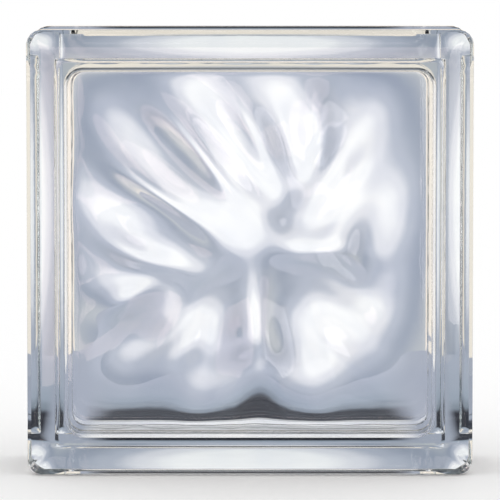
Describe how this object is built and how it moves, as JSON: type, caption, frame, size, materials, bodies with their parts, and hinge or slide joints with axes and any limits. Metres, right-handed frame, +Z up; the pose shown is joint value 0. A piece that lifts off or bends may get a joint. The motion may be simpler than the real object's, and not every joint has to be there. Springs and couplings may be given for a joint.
{
  "type": "glass block",
  "caption": "Square hollow glass block with wavy inner faces, a rounded band round each face, stout rims and a mortar channel round its edges, for laying in walls that let light through.",
  "frame": {"origin": "middle of the underside, level with the rims the block stands on", "axes": "+Z up, +X to the right seen from the front, front face towards -Y, depth through the wall along Y"},
  "size_m": [0.19, 0.08, 0.19],
  "materials": {
    "glass": "clear pressed glass, fire polished"
  },
  "bodies": {
    "root": {"glass_block": "glass"}
  },
  "joints": []
}
